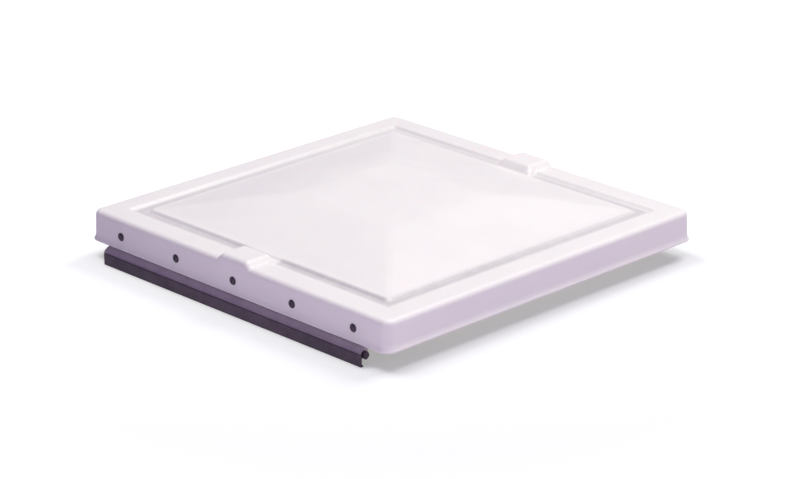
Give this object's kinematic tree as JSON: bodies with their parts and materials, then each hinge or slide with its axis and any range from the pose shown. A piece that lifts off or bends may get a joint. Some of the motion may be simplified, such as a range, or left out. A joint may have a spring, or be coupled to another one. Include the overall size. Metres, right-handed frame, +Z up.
{
  "type": "roof vent cover",
  "caption": "Square low-domed roof vent lid for a caravan, riveted to a full-length hook-and-bead hinge with a flat fixing foot.",
  "frame": {"origin": "centre of the footprint, on the plane that the hinge's foot stands on, with the lid closed", "axes": "+X along the hinge, +Y from the hinge to the free edge, +Z up through the dome"},
  "size_m": [0.4036, 0.4114, 0.0627],
  "materials": {
    "moulded_lid": "injection-moulded white polypropylene, fine texture, soft gloss",
    "anodised_hinge": "dark bronze anodised extrusion, satin",
    "anodised_base": "near-black bronze anodised extrusion, satin",
    "rivet_paint": "dark bronze enamel",
    "steel": "zinc plated",
    "seal_foam": "closed-cell foam, matt",
    "mill_aluminium": "mill finish extrusion"
  },
  "bodies": {
    "hinge_base": {"hinge_base_leaf": "anodised_base"},
    "lid": {"lid_shell": "moulded_lid", "hinge_lid_leaf": "anodised_hinge", "rivet_1": "rivet_paint", "rivet_2": "rivet_paint", "rivet_3": "rivet_paint", "rivet_4": "rivet_paint", "rivet_5": "rivet_paint", "rivet_mandrel_1": "steel", "rivet_mandrel_2": "steel", "rivet_mandrel_3": "steel", "rivet_mandrel_4": "steel", "rivet_mandrel_5": "steel", "weather_seal_hinge_side": "seal_foam", "weather_seal_free_side": "seal_foam", "weather_seal_left": "seal_foam", "weather_seal_right": "seal_foam", "lift_track": "mill_aluminium", "track_screw_1": "steel", "track_screw_2": "steel", "track_screw_3": "steel", "track_screw_4": "steel"}
  },
  "joints": [
    {"name": "lid_hinge", "type": "hinge", "parent": "hinge_base", "child": "lid", "pos_m": [0, -0.19885, 0.0095], "axis": [1, 0, 0], "range_deg": [0, 75]}
  ]
}
